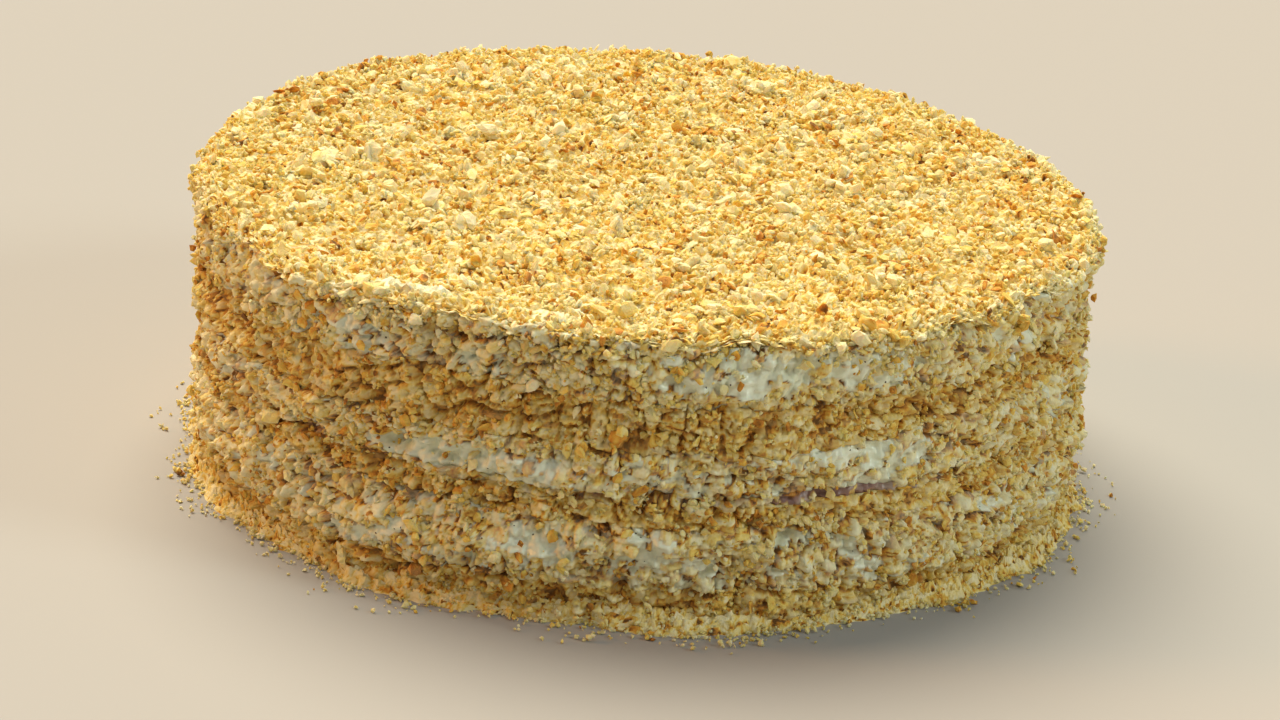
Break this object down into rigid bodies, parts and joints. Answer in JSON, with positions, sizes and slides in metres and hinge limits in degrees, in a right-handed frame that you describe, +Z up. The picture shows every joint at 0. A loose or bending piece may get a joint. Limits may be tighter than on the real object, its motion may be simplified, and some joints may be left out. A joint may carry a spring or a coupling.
{
  "type": "napoleon cake",
  "caption": "Whole round mille feuille (Napoleon) cake: pastry and custard cream in layers with a thin jam layer, coated in broken pastry crumbs, standing flat.",
  "frame": {"origin": "middle of the cake's underside, at the middle of the box that holds the cake, on the plane it stands on", "axes": "+Z up through the cake; -Y is the front, the side towards the viewer; +X is to the viewer's right"},
  "size_m": [0.243, 0.246, 0.0759],
  "materials": {
    "pastry": "baked puff pastry, crisp, dry and matt, golden brown at its broken edge",
    "cream": "moist custard cream with vanilla specks, softly glossy",
    "jam": "thin berry jam, dull mauve brown, moist",
    "crumbs": "broken puff pastry flakes and crumbs, pale yellow to toasted brown, dry and matt"
  },
  "bodies": {
    "root": {"pastry_1": "pastry", "cream_1": "cream", "pastry_2": "pastry", "jam": "jam", "cream_2": "cream", "pastry_3": "pastry", "cream_3": "cream", "crumb_topping": "crumbs", "foot_crumbs": "crumbs"}
  },
  "joints": []
}
